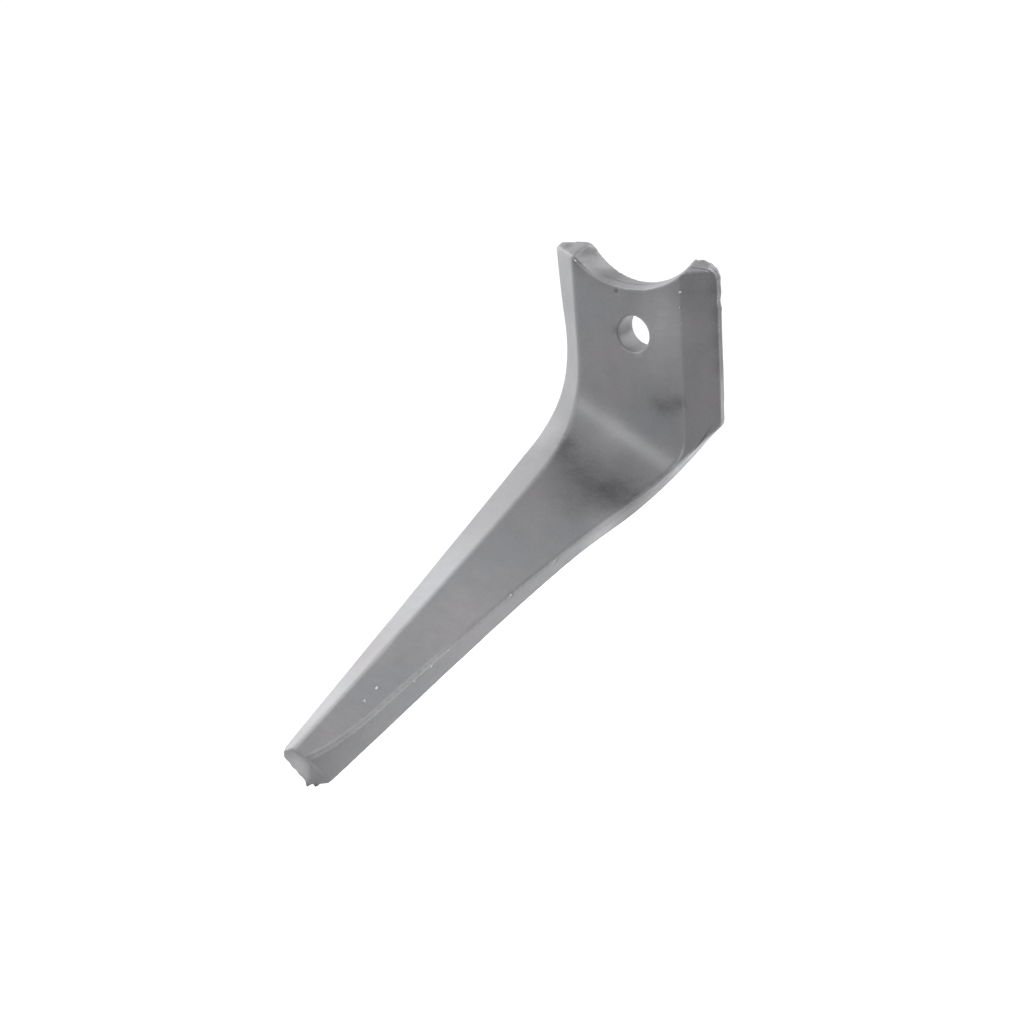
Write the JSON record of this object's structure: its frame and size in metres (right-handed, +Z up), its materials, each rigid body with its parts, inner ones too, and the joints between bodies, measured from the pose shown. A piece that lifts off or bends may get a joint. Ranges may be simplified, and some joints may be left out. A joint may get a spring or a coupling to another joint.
{
  "type": "power harrow tine",
  "caption": "Forged steel soil-working tine with a bored quick-fit head, a half-moon hub seat and a bent, tapering blade.",
  "frame": {"origin": "middle of the locking-pin bore, halfway through the head plate", "axes": "+Z up the head towards the half-moon, +Y out of the head's outer face along the bore, +X to the head's straight edge; the blade comes forward and down, towards -Y and -Z"},
  "size_m": [0.111, 0.2555, 0.2124],
  "materials": {
    "grey_paint": "semi-gloss grey dip paint over a forged skin"
  },
  "bodies": {
    "root": {"harrow_tine": "grey_paint"}
  },
  "joints": []
}
